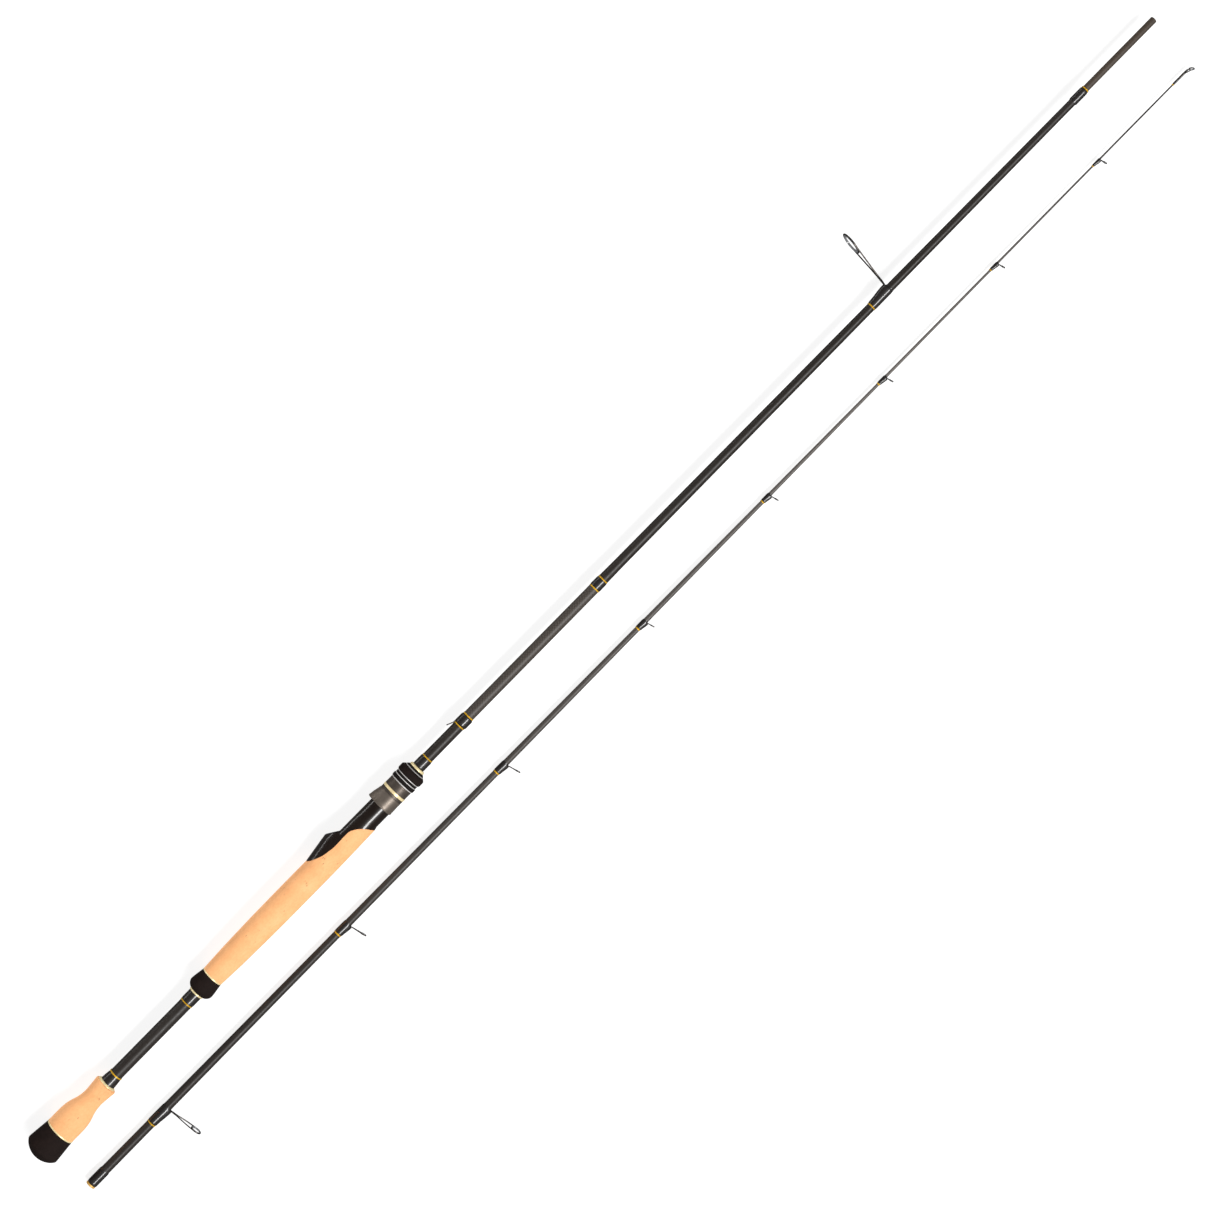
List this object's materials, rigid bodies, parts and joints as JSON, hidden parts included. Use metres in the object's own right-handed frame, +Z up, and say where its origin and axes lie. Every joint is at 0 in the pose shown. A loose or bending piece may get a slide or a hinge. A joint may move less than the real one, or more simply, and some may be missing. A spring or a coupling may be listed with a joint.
{
  "type": "spinning rod",
  "caption": "Two-piece spinning rod taken apart: cork split-grip butt section with reel seat and high stripper guide, beside a tip section with single-foot guides and a tip-top.",
  "frame": {"origin": "on the ground below the middle of the box that holds both sections side by side", "axes": "+X along both sections toward their tip ends, +Y the side that the butt section's guide points to, +Z up"},
  "size_m": [1.34, 0.1458, 0.0314],
  "materials": {
    "carbon_gloss": "clear-coated carbon tube, deep gloss, matte woven stretch above the handle",
    "carbon_ground": "ground carbon, matte",
    "dark_resin": "matte",
    "eva_black": "closed-cell foam, matte",
    "rubber_black": "satin",
    "cork": "sanded cork, fine pits",
    "gold_anodised": "anodised champagne gold, satin",
    "gold_thread": "metallic gold thread under epoxy",
    "wrap_black": "black thread under clear epoxy",
    "seat_gloss_black": "gloss black",
    "arbor_foam": "rigid foam",
    "hood_gunmetal": "gunmetal, satin brushed",
    "nut_grey": "dark grey, satin",
    "silver_trim": "polished silver",
    "guide_steel": "dark gunmetal plating",
    "guide_ceramic": "polished grey ceramic"
  },
  "bodies": {
    "butt_section": {"butt_blank": "carbon_gloss", "butt_cap": "eva_black", "butt_cap_ring": "gold_anodised", "butt_gold_bands": "gold_thread", "ferrule_spigot": "carbon_ground", "ferrule_wrap": "wrap_black", "front_check": "gold_anodised", "front_wrap": "wrap_black", "grip_check": "gold_anodised", "grip_collar": "eva_black", "grip_collar_ring": "gold_anodised", "handle_wraps": "wrap_black", "hook_keeper": "guide_steel", "hook_keeper_wrap": "wrap_black", "main_cork": "cork", "marker_wrap": "wrap_black", "rear_check": "gold_anodised", "rear_cork": "cork", "reel_seat": "seat_gloss_black", "seat_arbors": "arbor_foam", "stripper_frame": "guide_steel", "stripper_ring": "guide_ceramic", "stripper_wrap": "wrap_black"},
    "moving_hood": {"moving_hood": "hood_gunmetal", "hood_collar": "hood_gunmetal"},
    "lock_nut": {"nut_core": "nut_grey", "nut_gold_ring": "gold_anodised", "nut_sleeve": "nut_grey", "nut_black_rings": "rubber_black", "nut_silver_rings": "silver_trim", "fore_grip": "eva_black", "nut_end_cap": "rubber_black"},
    "ferrule_plug": {"spigot_plug": "dark_resin"},
    "socket_end": {"socket_ring": "gold_anodised"},
    "tip_section": {"guide_1_frame": "guide_steel", "guide_1_ring": "guide_ceramic", "guide_2_frame": "guide_steel", "guide_2_ring": "guide_ceramic", "guide_3_frame": "guide_steel", "guide_3_ring": "guide_ceramic", "guide_4_frame": "guide_steel", "guide_4_ring": "guide_ceramic", "guide_5_frame": "guide_steel", "guide_5_ring": "guide_ceramic", "guide_6_frame": "guide_steel", "guide_6_ring": "guide_ceramic", "guide_7_frame": "guide_steel", "guide_7_ring": "guide_ceramic", "guide_8_frame": "guide_steel", "guide_8_ring": "guide_ceramic", "socket_sleeve": "carbon_ground", "socket_wrap": "wrap_black", "tip_blank": "carbon_gloss", "tip_gold_bands": "gold_thread", "tip_guide_wraps": "wrap_black", "tip_top_frame": "guide_steel", "tip_top_ring": "guide_ceramic", "tip_top_wrap": "wrap_black"}
  },
  "joints": [
    {"name": "hood_slide", "type": "slide", "parent": "butt_section", "child": "moving_hood", "axis": [-1, 0, 0], "range_m": [0, 0.0135]},
    {"name": "nut_spin", "type": "hinge", "parent": "moving_hood", "child": "lock_nut", "pos_m": [-0.228, 0.0132, 0.01575], "axis": [-1, 0, 0], "range_deg": [0, 2700]},
    {"name": "ferrule_push", "type": "slide", "parent": "butt_section", "child": "ferrule_plug", "axis": [-1, 0, 0], "range_m": [0, 0.314]},
    {"name": "tip_carry", "type": "slide", "parent": "ferrule_plug", "child": "socket_end", "axis": [0.9995, 0.0319, 0.0069], "range_m": [0, 1.56534]},
    {"name": "tip_turn", "type": "hinge", "parent": "socket_end", "child": "tip_section", "pos_m": [-0.6585, -0.0368, 0.005], "axis": [-1, 0, 0], "range_deg": [0, 180]}
  ],
  "couplings": [
    {"joint": "hood_slide", "follows": "nut_spin", "m_per_rad": 0.00028648}
  ]
}
